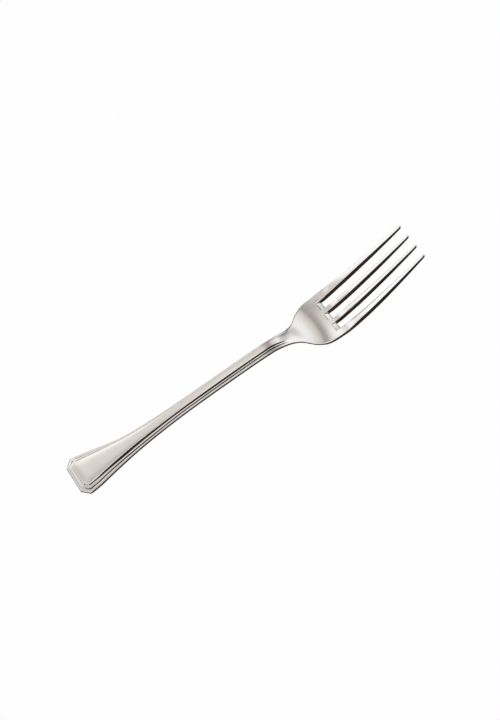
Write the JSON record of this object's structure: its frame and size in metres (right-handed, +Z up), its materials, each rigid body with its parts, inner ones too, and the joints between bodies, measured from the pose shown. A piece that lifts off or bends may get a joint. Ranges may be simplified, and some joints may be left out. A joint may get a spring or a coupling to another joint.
{
  "type": "dinner fork",
  "caption": "Polished stainless steel dinner fork: a flared handle with clipped corners and a stepped border, a slim arched stem, a dished palm and long tapering tines.",
  "frame": {"origin": "on the table, under the middle of the fork's length and width", "axes": "+X from the handle end to the tine points, +Y across the fork, +Z up off the table, with the fork lying on its handle and palm, tines turned up"},
  "size_m": [0.207, 0.028, 0.0223],
  "materials": {
    "polished_steel": "mirror polished stainless steel with fine hairline scratches"
  },
  "bodies": {
    "root": {"handle": "polished_steel", "stem": "polished_steel", "neck": "polished_steel", "palm": "polished_steel", "tine_1": "polished_steel", "tine_2": "polished_steel", "tine_3": "polished_steel", "tine_4": "polished_steel"}
  },
  "joints": []
}
